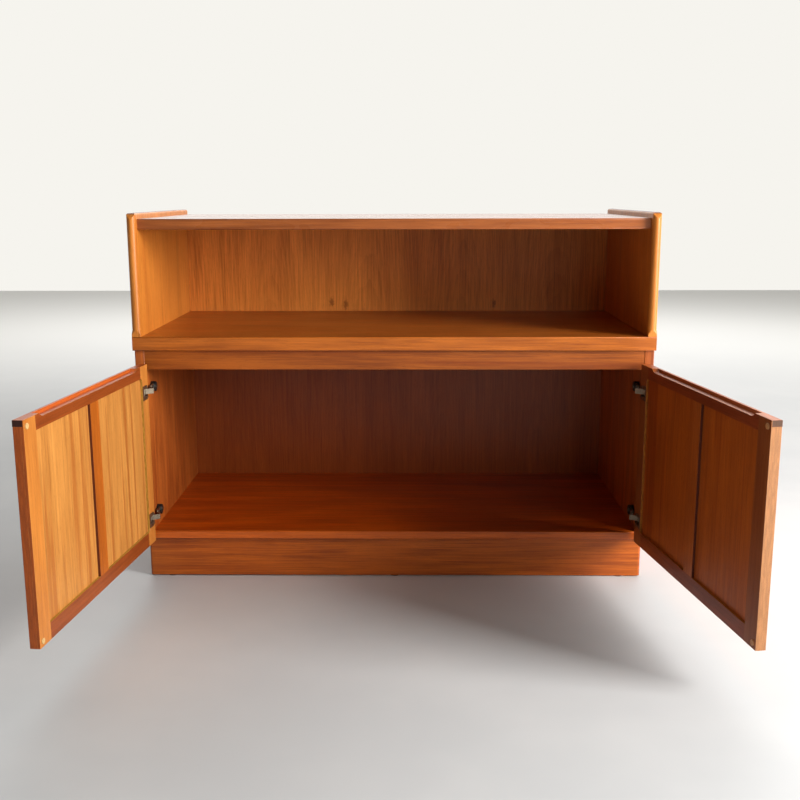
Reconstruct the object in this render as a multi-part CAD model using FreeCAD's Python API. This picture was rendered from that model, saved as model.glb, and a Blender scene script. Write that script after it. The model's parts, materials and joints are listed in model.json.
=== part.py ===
"""Television cabinet: an open shelf unit on a lower carcass with two hinged doors and a plinth.

Millimetres, +Z up, +X to the right seen from the front, +Y to the back.  The origin is the
middle of the plinth's footprint on the floor.  Both doors rest wide open; their joints close them.
"""
import FreeCAD, Part
import math
import os

from FreeCAD import Matrix, Vector

os.makedirs("parts", exist_ok=True)

# ---- heights above the floor
GLIDE_HEIGHT = 2.5
PLINTH_TOP = 83.0
BOTTOM_TOP = 98.5
RAIL_BOTTOM = 425.0
CARCASS_TOP = 463.0
SHELF_TOP = 489.5
TOP_BOARD_UNDERSIDE = 691.0
TOP_BOARD_TOP = 711.5
UPPER_SIDE_TOP = 722.5

# ---- widths and depths
SHELF_WIDTH = 1000.0
SHELF_DEPTH = 456.0
SHELF_ARRIS = 2.0
SHELF_FRONT = -SHELF_DEPTH / 2
SHELF_BACK = SHELF_DEPTH / 2

UPPER_SIDE_THICKNESS = 17.0
UPPER_INNER = SHELF_WIDTH / 2 - UPPER_SIDE_THICKNESS
BULLNOSE_RADIUS = 8.3
FOOT_ARRIS = 1.0
FOOT_SQUARE_HEIGHT = 5.0
FOOT_FLARE_HEIGHT = 13.0
SIDE_TOP_ROUNDING = 5.0
SIDE_CORNER_ROUNDING = 13.0
TOP_BOARD_SETBACK = 15.0
TOP_BOARD_ARRIS = 2.5
UPPER_BACK_FACE = 216.5
BACK_THICKNESS = 6.0
BACK_REBATE = 8.0

CARCASS_WIDTH = 997.0
CARCASS_OUTER = CARCASS_WIDTH / 2
CARCASS_SIDE_THICKNESS = 18.0
CARCASS_INNER = CARCASS_OUTER - CARCASS_SIDE_THICKNESS
CARCASS_FRONT = SHELF_FRONT + 9.0
CARCASS_BACK = 226.0
CARCASS_ARRIS = 1.0
LOWER_BACK_FACE = 213.0
RAIL_SETBACK = 0.5
RAIL_THICKNESS = 18.0
RAIL_END_GAP = 0.4
LIPPING_DEPTH = 8.0
LIPPING_ARRIS = 1.5
CLEARANCE = 0.05

PLINTH_WIDTH = 986.0
PLINTH_DEPTH = 412.0
PLINTH_THICKNESS = 18.0
PLINTH_CORNER = 5.0
BRACE_THICKNESS = 20.0
GLIDE_RADIUS = 11.0
GLIDE_STEM_RADIUS = 2.5
GLIDE_STEM_LENGTH = 12.0
GLIDE_FACE_INSET = 13.0
GLIDE_END_INSET = 43.0
BLOCK_LEG = 32.0
BLOCK_HEIGHT = 70.0
BLOCK_LIFT = 5.0

# ---- fastenings of the carcass
DOWEL_RADIUS = 4.0
DOWEL_HALF_LENGTH = 12.0
DOWEL_END_GAP = 0.5
RAIL_DOWEL_INSET = 10.0
BOARD_DOWEL_DEPTHS = (-150.0, 0.0, 150.0)
UPPER_SIDE_DOWEL_DEPTHS = (-160.0, 0.0, 160.0)
BACK_SCREW_HEAD_RADIUS = 3.5
BACK_SCREW_HEAD_HEIGHT = 1.6
BACK_SCREW_RADIUS = 1.5
BACK_SCREW_LENGTH = 14.0
BACK_SCREW_EDGE = 4.0
BACK_SCREW_PLACES = (-0.75, -0.25, 0.25, 0.75)
BOLT_RADIUS = 3.0
BOLT_HEAD_RADIUS = 6.0
BOLT_HEAD_HEIGHT = 3.0
BOLT_LENGTH = 22.0
BOLT_INSET = 12.0
BOLT_DEPTHS = (-120.0, 120.0)
CLEAT_SIZE = 20.0

# ---- doors, in their own frame: "along" from the hinge edge, "out" from the inner face, "up"
DOOR_WIDTH = 497.0
DOOR_HEIGHT = 354.0
DOOR_THICKNESS = 17.0
DOOR_BOTTOM = 84.0
DOOR_GAP_TO_CARCASS = 1.5
DOOR_EDGE_REVEAL = 2.0
FIELD_DEPTH = 4.5
STILE_WIDTH = 36.0
FREE_STILE_WIDTH = 37.5
FIELD_HINGE_EDGE = 28.0
FIELD_TOP_MARGIN = 23.0
FIELD_BOTTOM_MARGIN = 27.0
FIELD_CORNER_RADIUS = 8.0
MUNTIN_START = 233.0
MUNTIN_WIDTH = 34.0
TOP_STRIP_HEIGHT = 10.0
STRIP_LAP = 1.0
PULL_START = 52.0
PULL_END = 447.0
PULL_DEPTH = 6.0
PULL_WALL = 12.0
PULL_RUNOUT = 18.0
PULL_BEND = (0.32, 0.72)
BUMPER_RADIUS = 4.8
BUMPER_THICKNESS = 1.7
BUMPER_INSET = 9.5
BUMPER_TOP_INSET = 10.5

# ---- hinges: a fixed arm, a crank link and a cup in the door, one link pivot at each end
HINGE_HEIGHTS = (48.0, 301.0)
OPEN_ANGLE = {"left": 96.0, "right": 99.0}
LINK_TURN_PER_DEGREE = 1.0 / 3.0
ARM_PIVOT_X = 474.0
ARM_PIVOT_SETBACK = 21.0
PIVOT_BORE_REACH = 20.0
CUP_PIVOT_ALONG = 4.0
CUP_PIVOT_OUT = 7.0
LINK_ELBOW_X = 476.0
LINK_THICKNESS = 3.0
LINK_HEIGHT = 10.0
KNUCKLE_RADIUS = 3.0
KNUCKLE_GAP = 1.0
LINK_PIN_RADIUS = 1.5
CUP_PIN_REACH = 8.6
BOSS_RADIUS = 10.0
BOSS_HEIGHT = 10.0
BOSS_SETBACK = 50.0
BOSS_RIM = 1.5
BOSS_SCREW_HEAD_RADIUS = 4.0
BOSS_SCREW_HEAD_HEIGHT = 1.5
BOSS_SCREW_RADIUS = 1.8
BOSS_SCREW_LENGTH = 22.0
ARM_THICKNESS = 3.0
ARM_EAR = 2.0
ARM_TAIL_SETBACK = 3.0
ARM_SLOT_LENGTH = 9.0
FLANGE_START = 3.0
FLANGE_THICKNESS = 1.0
FLANGE_HEIGHT = 28.0
FLANGE_CORNER = 8.0
CUP_END = 26.5
CUP_START = 1.5
CUP_HALF_HEIGHT = 9.0
CUP_DEPTH = 11.5
CUP_WALL = 1.2
LINK_SLOT_HALF_HEIGHT = 6.5
LINK_SLOT_DEPTH = 11.3
LINK_SLOT_LENGTH = 6.0
LINK_SLOT_LIP = 1.0
CUP_SCREW_RADIUS = 1.2
CUP_SCREW_HEAD_RADIUS = 2.4
CUP_SCREW_HEAD_HEIGHT = 0.3
CUP_SCREW_LENGTH = 9.0
CUP_SCREW_OFFSET = 11.4
CUP_SCREW_ALONG = 14.0

SIDES = (("left", -1), ("right", 1))
UP = Vector(0, 0, 1)
BACKWARD = Vector(0, 1, 0)
SIDEWAYS = Vector(1, 0, 0)
BEYOND = 5.0
NEAR = 1.0


# ---- helpers
def box(x_range, y_range, z_range):
    """A block between pairs of limits."""
    size = [high - low for low, high in (x_range, y_range, z_range)]
    corner = Vector(x_range[0], y_range[0], z_range[0])
    return Part.makeBox(size[0], size[1], size[2], corner)


def rod(radius, start, direction, length):
    """A cylinder from a start point."""
    return Part.makeCylinder(radius, length, Vector(*start), Vector(*direction))


def mirrored(shape):
    """The same shape on the other side of the middle plane."""
    return shape.mirror(Vector(0, 0, 0), SIDEWAYS)


def sided(shape_for_left, side_sign):
    """A left-hand shape, or its mirror image on the right."""
    if side_sign < 0:
        return shape_for_left
    return mirrored(shape_for_left)


def edges_along(shape, axis, keep):
    """Straight edges parallel to an axis whose midpoint passes a test."""
    found = []
    for edge in shape.Edges:
        if edge.Curve.TypeId != "Part::GeomLine":
            continue
        first, last = edge.Vertexes[0].Point, edge.Vertexes[-1].Point
        run = last.sub(first)
        if abs(abs(run.dot(axis)) - run.Length) < 1e-6 and keep(first.add(last).multiply(0.5)):
            found.append(edge)
    return found


def rounded(shape, radius, axis, keep):
    """Round the straight edges parallel to an axis that pass a test."""
    return shape.makeFillet(radius, edges_along(shape, axis, keep))


def group(shapes):
    """Separate solids kept together as one node."""
    return Part.makeCompound(shapes)


def save(name, shape):
    """Write one node."""
    solids = shape.Solids
    clean = solids[0] if len(solids) == 1 else Part.makeCompound(solids)
    clean.exportStep("parts/%s.step" % name)


def without(shape, tools):
    """A shape with every tool cut from it."""
    return shape.cut(tools) if tools else shape


# ---- fastenings of the fixed structure: each returns the piece, and its hole with clearance
def dowel(centre, direction):
    """A dowel across a joint, and the hole it sits in."""
    axis = Vector(*direction)
    start = Vector(*centre).sub(axis * DOWEL_HALF_LENGTH)
    hole_start = Vector(*centre).sub(axis * (DOWEL_HALF_LENGTH + DOWEL_END_GAP))
    piece = Part.makeCylinder(DOWEL_RADIUS, 2 * DOWEL_HALF_LENGTH, start, axis)
    hole_length = 2 * (DOWEL_HALF_LENGTH + DOWEL_END_GAP)
    hole = Part.makeCylinder(DOWEL_RADIUS + CLEARANCE, hole_length, hole_start, axis)
    return piece, hole


def headed_screw(head_centre, direction, head, shank):
    """A screw whose head lies on a face, the shank going in: head and shank are (radius, length)."""
    axis = Vector(*direction)
    base = Vector(*head_centre)
    head_piece = Part.makeCylinder(head[0], head[1], base.sub(axis * head[1]), axis)
    shank_piece = Part.makeCylinder(shank[0], shank[1], base, axis)
    hole = Part.makeCylinder(shank[0] + CLEARANCE, shank[1] + DOWEL_END_GAP, base, axis)
    return head_piece.fuse(shank_piece).removeSplitter(), hole


def carcass_dowels():
    """Dowels that hold rail, bottom board and top board between the sides."""
    result = {"rail": [], "bottom": [], "top": []}
    rail_y = CARCASS_FRONT + RAIL_SETBACK + RAIL_THICKNESS / 2
    bottom_z = (PLINTH_TOP + BOTTOM_TOP) / 2
    top_z = (TOP_BOARD_UNDERSIDE + TOP_BOARD_TOP) / 2
    offset = DOWEL_HALF_LENGTH - CARCASS_SIDE_THICKNESS / 2
    for _, sign in SIDES:
        lower_x = sign * (CARCASS_INNER - offset)
        upper_x = sign * (UPPER_INNER - offset)
        for height in (RAIL_BOTTOM + RAIL_DOWEL_INSET, CARCASS_TOP - RAIL_DOWEL_INSET):
            result["rail"].append(dowel((lower_x, rail_y, height), (1, 0, 0)))
        for depth in BOARD_DOWEL_DEPTHS:
            result["bottom"].append(dowel((lower_x, depth, bottom_z), (1, 0, 0)))
            result["top"].append(dowel((upper_x, depth, top_z), (1, 0, 0)))
    return result


def unit_bolts():
    """Bolts that pull the shelf board down onto the lower sides' cleats."""
    fittings = []
    for _, sign in SIDES:
        for depth in BOLT_DEPTHS:
            centre = (sign * (CARCASS_INNER - BOLT_INSET), depth, CARCASS_TOP - CLEAT_SIZE)
            head = (BOLT_HEAD_RADIUS, BOLT_HEAD_HEIGHT)
            fittings.append(headed_screw(centre, (0, 0, 1), head, (BOLT_RADIUS, BOLT_LENGTH)))
    return fittings


def upper_unit_dowels():
    """Dowels that stand the upper sides on the shelf board."""
    fittings = []
    for _, sign in SIDES:
        for depth in UPPER_SIDE_DOWEL_DEPTHS:
            centre = (sign * (SHELF_WIDTH / 2 - UPPER_SIDE_THICKNESS / 2), depth, SHELF_TOP)
            fittings.append(dowel(centre, (0, 0, 1)))
    return fittings


def back_screws(face, height):
    """A row of small screws through a back panel from behind, into the board at its edge."""
    head = (BACK_SCREW_HEAD_RADIUS, BACK_SCREW_HEAD_HEIGHT)
    shank = (BACK_SCREW_RADIUS, BACK_SCREW_LENGTH)
    rear = face + BACK_THICKNESS
    places = [place * CARCASS_INNER for place in BACK_SCREW_PLACES]
    return [headed_screw((x, rear, height), (0, -1, 0), head, shank) for x in places]


DOWELS = carcass_dowels()
UPPER_DOWELS = upper_unit_dowels()
BOLTS = unit_bolts()
UPPER_SCREWS = back_screws(UPPER_BACK_FACE, TOP_BOARD_UNDERSIDE + BACK_SCREW_EDGE)
LOWER_SCREWS = back_screws(LOWER_BACK_FACE, BOTTOM_TOP - BACK_SCREW_EDGE)


def pieces(fittings):
    """The solids of a list of fastenings."""
    return [piece for piece, _ in fittings]


def holes(*fitting_lists):
    """The holes of one or more lists of fastenings."""
    return [hole for fittings in fitting_lists for _, hole in fittings]


# ---- upper open unit
def side_section(radius, height):
    """Plan outline of the left upper side at one height, its two front corners rounded."""
    outer = -SHELF_WIDTH / 2
    inner = -UPPER_INNER
    slant = radius * math.sqrt(0.5)
    points = {
        "inner_back": (inner, SHELF_BACK),
        "inner_arc": (inner, SHELF_FRONT + radius),
        "inner_mid": (inner - radius + slant, SHELF_FRONT + radius - slant),
        "inner_tip": (inner - radius, SHELF_FRONT),
        "outer_tip": (outer + radius, SHELF_FRONT),
        "outer_mid": (outer + radius - slant, SHELF_FRONT + radius - slant),
        "outer_arc": (outer, SHELF_FRONT + radius),
        "outer_back": (outer, SHELF_BACK),
    }
    at = {key: Vector(x, y, height) for key, (x, y) in points.items()}
    edges = [
        Part.makeLine(at["inner_back"], at["inner_arc"]),
        Part.Arc(at["inner_arc"], at["inner_mid"], at["inner_tip"]).toShape(),
        Part.makeLine(at["inner_tip"], at["outer_tip"]),
        Part.Arc(at["outer_tip"], at["outer_mid"], at["outer_arc"]).toShape(),
        Part.makeLine(at["outer_arc"], at["outer_back"]),
        Part.makeLine(at["outer_back"], at["inner_back"]),
    ]
    return Part.Wire(edges)


def upper_side():
    """Left upper side: bullnose front that flares square at its foot, softly rounded top."""
    flare_start = SHELF_TOP + FOOT_SQUARE_HEIGHT
    flare_end = SHELF_TOP + FOOT_FLARE_HEIGHT
    foot = Part.Face(side_section(FOOT_ARRIS, SHELF_TOP)).extrude(UP * FOOT_SQUARE_HEIGHT)
    flare_sections = [side_section(FOOT_ARRIS, flare_start), side_section(BULLNOSE_RADIUS, flare_end)]
    flare = Part.makeLoft(flare_sections, True, True)
    upright_height = UPPER_SIDE_TOP - flare_end
    upright = Part.Face(side_section(BULLNOSE_RADIUS, flare_end)).extrude(UP * upright_height)
    outer, inner = -SHELF_WIDTH / 2, -UPPER_INNER
    front_view = box((outer, inner), (SHELF_FRONT, SHELF_BACK), (SHELF_TOP, UPPER_SIDE_TOP))
    front_view = rounded(
        front_view, SIDE_TOP_ROUNDING, BACKWARD, lambda p: p.z > UPPER_SIDE_TOP - NEAR
    )
    side_view = box((outer, inner), (SHELF_FRONT, SHELF_BACK), (SHELF_TOP, UPPER_SIDE_TOP))
    side_view = rounded(
        side_view,
        SIDE_CORNER_ROUNDING,
        SIDEWAYS,
        lambda p: p.z > UPPER_SIDE_TOP - NEAR and p.y < SHELF_FRONT + NEAR,
    )
    shape = foot.fuse([flare, upright]).common(front_view).common(side_view)
    rebate = box(
        (inner - BACK_REBATE, inner + BEYOND),
        (UPPER_BACK_FACE, SHELF_BACK + BEYOND),
        (SHELF_TOP - BEYOND, TOP_BOARD_UNDERSIDE + BACK_REBATE),
    )
    return shape.cut(rebate)


def top_board():
    """Board between the upper sides, with a groove for the back panel under its rear edge."""
    front = SHELF_FRONT + TOP_BOARD_SETBACK
    board = box((-UPPER_INNER, UPPER_INNER), (front, SHELF_BACK), (TOP_BOARD_UNDERSIDE, TOP_BOARD_TOP))
    board = rounded(board, TOP_BOARD_ARRIS, SIDEWAYS, lambda p: p.y < front + NEAR)
    rebate = box(
        (-UPPER_INNER - BEYOND, UPPER_INNER + BEYOND),
        (UPPER_BACK_FACE, SHELF_BACK + BEYOND),
        (TOP_BOARD_UNDERSIDE - BEYOND, TOP_BOARD_UNDERSIDE + BACK_REBATE),
    )
    return board.cut(rebate)


def upper_back():
    """Back panel of the open unit, held in the rebates by screws."""
    reach = UPPER_INNER + BACK_REBATE - DOWEL_END_GAP
    return box(
        (-reach, reach),
        (UPPER_BACK_FACE, UPPER_BACK_FACE + BACK_THICKNESS),
        (SHELF_TOP, TOP_BOARD_UNDERSIDE + BACK_REBATE - DOWEL_END_GAP),
    )


def shelf_board():
    """Thick board between the two units: roof of the carcass and floor of the open unit."""
    half = SHELF_WIDTH / 2
    board = box((-half, half), (SHELF_FRONT, SHELF_BACK), (CARCASS_TOP, SHELF_TOP))
    return rounded(board, SHELF_ARRIS, SIDEWAYS, lambda p: p.y < SHELF_FRONT + NEAR)


# ---- lower carcass
def lower_side():
    """Left lower side with the rebate for the back panel."""
    outer, inner = -CARCASS_OUTER, -CARCASS_INNER
    board = box((outer, inner), (CARCASS_FRONT, CARCASS_BACK), (PLINTH_TOP, CARCASS_TOP))
    board = rounded(board, CARCASS_ARRIS, UP, lambda p: p.y < CARCASS_FRONT + NEAR)
    rebate = box(
        (inner - BACK_REBATE, inner + BEYOND),
        (LOWER_BACK_FACE, CARCASS_BACK + BEYOND),
        (PLINTH_TOP - BEYOND, CARCASS_TOP + BEYOND),
    )
    return board.cut(rebate)


def top_rail():
    """Facing rail under the shelf board."""
    reach = CARCASS_INNER - RAIL_END_GAP
    front = CARCASS_FRONT + RAIL_SETBACK
    rail = box((-reach, reach), (front, front + RAIL_THICKNESS), (RAIL_BOTTOM, CARCASS_TOP))
    return rounded(
        rail, CARCASS_ARRIS, SIDEWAYS, lambda p: p.y < front + NEAR and p.z < RAIL_BOTTOM + NEAR
    )


def bottom_front():
    """Front line of the bottom board's lipping."""
    return CARCASS_FRONT + RAIL_SETBACK


def bottom_board():
    """Bottom of the compartment, behind its lipping."""
    board = box(
        (-CARCASS_INNER, CARCASS_INNER),
        (bottom_front() + LIPPING_DEPTH, CARCASS_BACK),
        (PLINTH_TOP, BOTTOM_TOP),
    )
    rebate = box(
        (-CARCASS_INNER - BEYOND, CARCASS_INNER + BEYOND),
        (LOWER_BACK_FACE, CARCASS_BACK + BEYOND),
        (BOTTOM_TOP - BACK_REBATE, BOTTOM_TOP + BEYOND),
    )
    return board.cut(rebate)


def bottom_lipping():
    """Solid edge along the front of the bottom board."""
    front = bottom_front()
    strip = box((-CARCASS_INNER, CARCASS_INNER), (front, front + LIPPING_DEPTH), (PLINTH_TOP, BOTTOM_TOP))
    return rounded(strip, LIPPING_ARRIS, SIDEWAYS, lambda p: p.y < front + NEAR)


def lower_back():
    """Back panel of the compartment."""
    reach = CARCASS_INNER + BACK_REBATE - DOWEL_END_GAP
    return box(
        (-reach, reach),
        (LOWER_BACK_FACE, LOWER_BACK_FACE + BACK_THICKNESS),
        (BOTTOM_TOP - BACK_REBATE + DOWEL_END_GAP, CARCASS_TOP),
    )


def side_cleat():
    """Left cleat along the top of a lower side, which the bolts go through."""
    front = CARCASS_FRONT + RAIL_SETBACK + RAIL_THICKNESS + BEYOND
    return box(
        (-CARCASS_INNER, -CARCASS_INNER + CLEAT_SIZE),
        (front, LOWER_BACK_FACE - BEYOND),
        (CARCASS_TOP - CLEAT_SIZE, CARCASS_TOP),
    )


# ---- plinth
def plinth_rail(front_face, direction):
    """Long plinth rail with rounded outer corners: direction +1 faces the front, -1 the back."""
    half = PLINTH_WIDTH / 2
    inner_face = front_face + direction * PLINTH_THICKNESS
    rail = box(
        (-half, half),
        (min(front_face, inner_face), max(front_face, inner_face)),
        (GLIDE_HEIGHT, PLINTH_TOP),
    )
    return rounded(rail, PLINTH_CORNER, UP, lambda p: abs(p.y - front_face) < NEAR)


def plinth_end():
    """Left short plinth rail between the long ones."""
    half = PLINTH_WIDTH / 2
    depth = PLINTH_DEPTH / 2 - PLINTH_THICKNESS
    return box((-half, -half + PLINTH_THICKNESS), (-depth, depth), (GLIDE_HEIGHT, PLINTH_TOP))


def plinth_brace():
    """Brace from front to back under the middle of the bottom board."""
    depth = PLINTH_DEPTH / 2 - PLINTH_THICKNESS
    half = BRACE_THICKNESS / 2
    return box((-half, half), (-depth, depth), (GLIDE_HEIGHT, PLINTH_TOP))


def corner_blocks():
    """Glue blocks in the four inner corners of the plinth."""
    blocks = []
    x_corner = PLINTH_WIDTH / 2 - PLINTH_THICKNESS
    y_corner = PLINTH_DEPTH / 2 - PLINTH_THICKNESS
    low = GLIDE_HEIGHT + BLOCK_LIFT
    for x_sign in (-1, 1):
        for y_sign in (-1, 1):
            outline = [
                Vector(x_sign * x_corner, y_sign * y_corner, low),
                Vector(x_sign * (x_corner - BLOCK_LEG), y_sign * y_corner, low),
                Vector(x_sign * x_corner, y_sign * (y_corner - BLOCK_LEG), low),
            ]
            face = Part.Face(Part.makePolygon(outline + outline[:1]))
            blocks.append(face.extrude(UP * BLOCK_HEIGHT))
    return group(blocks)


def glides():
    """Round glides under the plinth's rails and its brace, and the holes of their stems."""
    x_line = PLINTH_WIDTH / 2 - GLIDE_END_INSET
    y_line = PLINTH_DEPTH / 2 - GLIDE_FACE_INSET
    places = [(x, y) for y in (-y_line, y_line) for x in (-x_line, 0.0, x_line)]
    places.append((0.0, 0.0))
    fittings = []
    for x, y in places:
        head = (GLIDE_RADIUS, GLIDE_HEIGHT)
        stem = (GLIDE_STEM_RADIUS, GLIDE_STEM_LENGTH)
        fittings.append(headed_screw((x, y, GLIDE_HEIGHT), (0, 0, 1), head, stem))
    return fittings


# ---- doors, modelled for the left: x along, -y out, z up, then swung open
def door_box(along, out, up):
    """A block in the door's own frame."""
    return box(along, (-out[1], -out[0]), up)


def hinge_pockets():
    """Mortises for both cups, with the slot that lets the link out past the hinge edge."""
    tools = []
    for height in HINGE_HEIGHTS:
        pocket = door_box(
            (CUP_START, CUP_END),
            (-BEYOND, CUP_DEPTH),
            (height - CUP_HALF_HEIGHT, height + CUP_HALF_HEIGHT),
        )
        slot = door_box(
            (-BEYOND, FLANGE_START),
            (-BEYOND, LINK_SLOT_DEPTH),
            (height - LINK_SLOT_HALF_HEIGHT, height + LINK_SLOT_HALF_HEIGHT),
        )
        tools += [pocket, slot]
    return tools


def cup_screws():
    """Two screws through each cup flange into the hinge stile."""
    head = (CUP_SCREW_HEAD_RADIUS, CUP_SCREW_HEAD_HEIGHT)
    shank = (CUP_SCREW_RADIUS, CUP_SCREW_LENGTH)
    fittings = []
    for height in HINGE_HEIGHTS:
        for offset in (-CUP_SCREW_OFFSET, CUP_SCREW_OFFSET):
            centre = (CUP_SCREW_ALONG, FLANGE_THICKNESS, height + offset)
            fittings.append(headed_screw(centre, (0, -1, 0), head, shank))
    return fittings


def field_cutter():
    """The two sunk fields of the inner face, with the router's rounded corners."""
    left, right = FIELD_HINGE_EDGE, DOOR_WIDTH - FREE_STILE_WIDTH
    low, high = FIELD_BOTTOM_MARGIN, DOOR_HEIGHT - FIELD_TOP_MARGIN
    corner = FIELD_CORNER_RADIUS
    hinge_field = door_box((left, MUNTIN_START), (-BEYOND, FIELD_DEPTH), (low, high))
    hinge_field = rounded(hinge_field, corner, BACKWARD, lambda p: p.x < left + NEAR)
    free_field = door_box((MUNTIN_START + MUNTIN_WIDTH, right), (-BEYOND, FIELD_DEPTH), (low, high))
    return [hinge_field, free_field]


def door_leaf():
    """Outer board of the door, up to the underside of the top strip."""
    leaf = door_box((0, DOOR_WIDTH), (FIELD_DEPTH, DOOR_THICKNESS), (0, DOOR_HEIGHT - TOP_STRIP_HEIGHT))
    leaf = rounded(leaf, CARCASS_ARRIS, UP, lambda p: p.y < -DOOR_THICKNESS + NEAR)
    return without(leaf, hinge_pockets() + holes(cup_screws()))


def facing(along, low):
    """A frame member up to the top strip, with the thin lap that covers the strip's inner face."""
    strip_low = DOOR_HEIGHT - TOP_STRIP_HEIGHT
    member = door_box(along, (0, FIELD_DEPTH), (low, strip_low))
    lap = door_box(along, (0, STRIP_LAP), (strip_low, DOOR_HEIGHT))
    return member.fuse(lap).removeSplitter()


def hinge_stile():
    """Stile at the hinge edge: the sunk field bites into it."""
    stile = facing((0, STILE_WIDTH), 0)
    return without(stile, hinge_pockets() + holes(cup_screws()) + field_cutter())


def free_stile():
    """Stile at the free edge."""
    return facing((DOOR_WIDTH - FREE_STILE_WIDTH, DOOR_WIDTH), 0).cut(pull_cutter())


def door_top_rail():
    """Upper rail between the stiles, cut away along the finger pull."""
    span = (STILE_WIDTH, DOOR_WIDTH - FREE_STILE_WIDTH)
    return facing(span, DOOR_HEIGHT - FIELD_TOP_MARGIN).cut(pull_cutter())


def door_bottom_rail():
    """Lower rail between the stiles."""
    span = (STILE_WIDTH, DOOR_WIDTH - FREE_STILE_WIDTH)
    return door_box(span, (0, FIELD_DEPTH), (0, FIELD_BOTTOM_MARGIN))


def muntin():
    """Upright between the two fields."""
    return door_box(
        (MUNTIN_START, MUNTIN_START + MUNTIN_WIDTH),
        (0, FIELD_DEPTH),
        (FIELD_BOTTOM_MARGIN, DOOR_HEIGHT - FIELD_TOP_MARGIN),
    )


def pull_cutter():
    """Finger pull: a channel in the top edge, open to the inner face, running out in curves."""
    low = DOOR_HEIGHT - PULL_DEPTH
    top = DOOR_HEIGHT + BEYOND
    bend_along = PULL_RUNOUT * PULL_BEND[0]
    bend_up = DOOR_HEIGHT - PULL_DEPTH * PULL_BEND[1]
    start_top = Vector(PULL_START, BEYOND, DOOR_HEIGHT)
    start_bend = Vector(PULL_START + bend_along, BEYOND, bend_up)
    start_low = Vector(PULL_START + PULL_RUNOUT, BEYOND, low)
    end_low = Vector(PULL_END - PULL_RUNOUT, BEYOND, low)
    end_bend = Vector(PULL_END - bend_along, BEYOND, bend_up)
    end_top = Vector(PULL_END, BEYOND, DOOR_HEIGHT)
    above_end = Vector(PULL_END, BEYOND, top)
    above_start = Vector(PULL_START, BEYOND, top)
    edges = [
        Part.Arc(start_top, start_bend, start_low).toShape(),
        Part.makeLine(start_low, end_low),
        Part.Arc(end_low, end_bend, end_top).toShape(),
        Part.makeLine(end_top, above_end),
        Part.makeLine(above_end, above_start),
        Part.makeLine(above_start, start_top),
    ]
    return Part.Face(Part.Wire(edges)).extrude(Vector(0, -PULL_WALL - BEYOND, 0))


def top_strip():
    """Solid strip along the top edge, with the finger pull cut into it."""
    strip = door_box(
        (0, DOOR_WIDTH), (STRIP_LAP, DOOR_THICKNESS), (DOOR_HEIGHT - TOP_STRIP_HEIGHT, DOOR_HEIGHT)
    )
    strip = rounded(
        strip, CARCASS_ARRIS, SIDEWAYS, lambda p: p.y < -DOOR_THICKNESS + NEAR and p.z > DOOR_HEIGHT - NEAR
    )
    return strip.cut(pull_cutter())


def bumpers():
    """Small round buffers near the free corners of the inner face."""
    along = DOOR_WIDTH - BUMPER_INSET
    shapes = []
    for up in (BUMPER_INSET, DOOR_HEIGHT - BUMPER_TOP_INSET):
        button = rod(BUMPER_RADIUS, (along, 0, up), (0, 1, 0), BUMPER_THICKNESS)
        rim = [edge for edge in button.Edges if edge.CenterOfMass.y > BUMPER_THICKNESS - CLEARANCE]
        shapes.append(button.makeFillet(BUMPER_THICKNESS / 2, rim[:1]))
    return group(shapes)


def pivot_bore(pivot, height, clearance):
    """Upright hole round a link pin."""
    start = (pivot.x, pivot.y, height - PIVOT_BORE_REACH)
    return rod(LINK_PIN_RADIUS + clearance, start, (0, 0, 1), 2 * PIVOT_BORE_REACH)


def hinge_cups():
    """Pressed cup with a flange: open to the inner face and, for the link, past the hinge edge."""
    cups = []
    for height in HINGE_HEIGHTS:
        low, high = height - FLANGE_HEIGHT / 2, height + FLANGE_HEIGHT / 2
        flange = door_box((FLANGE_START, FIELD_HINGE_EDGE), (-FLANGE_THICKNESS, 0), (low, high))
        flange = rounded(flange, FLANGE_CORNER, BACKWARD, lambda p: p.x < FLANGE_START + NEAR)
        half = CUP_HALF_HEIGHT - CLEARANCE
        slot_half = LINK_SLOT_HALF_HEIGHT - LINK_SLOT_LIP
        shell = door_box(
            (CUP_START + CLEARANCE, CUP_END - CLEARANCE),
            (0, CUP_DEPTH - CLEARANCE),
            (height - half, height + half),
        )
        hollow = door_box(
            (CUP_START + CUP_WALL, CUP_END - CUP_WALL),
            (-BEYOND, CUP_DEPTH - CUP_WALL),
            (height - half + CUP_WALL, height + half - CUP_WALL),
        )
        slot = door_box(
            (-BEYOND, LINK_SLOT_LENGTH),
            (-BEYOND, LINK_SLOT_DEPTH - CUP_WALL),
            (height - slot_half, height + slot_half),
        )
        bore = pivot_bore(Vector(CUP_PIVOT_ALONG, -CUP_PIVOT_OUT, 0), height, CLEARANCE)
        cup = flange.fuse(shell).removeSplitter()
        cups.append(cup.cut([hollow, slot, bore] + holes(cup_screws())))
    return group(cups)


# ---- how a door and its link stand when opened by an angle
def closed_hinge_edge():
    """Hinge edge of the left door's inner face when it is shut."""
    return Vector(-DOOR_EDGE_REVEAL / 2 - DOOR_WIDTH, CARCASS_FRONT - DOOR_GAP_TO_CARCASS, 0)


def arm_pivot():
    """Pivot on the left fixed arm."""
    return Vector(-ARM_PIVOT_X, SHELF_FRONT + ARM_PIVOT_SETBACK, 0)


def link_matrix(open_angle):
    """Turn of the left link about the arm's pivot, away from its shut place."""
    pivot = arm_pivot()
    matrix = Matrix()
    matrix.move(pivot * -1)
    matrix.rotateZ(math.radians(open_angle * LINK_TURN_PER_DEGREE))
    matrix.move(pivot)
    return matrix


def cup_pivot_closed():
    """Pivot in the left door's cup when the door is shut."""
    return closed_hinge_edge().add(Vector(CUP_PIVOT_ALONG, -CUP_PIVOT_OUT, 0))


def cup_pivot(open_angle):
    """The same pivot with the door opened."""
    return link_matrix(open_angle).multVec(cup_pivot_closed())


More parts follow.
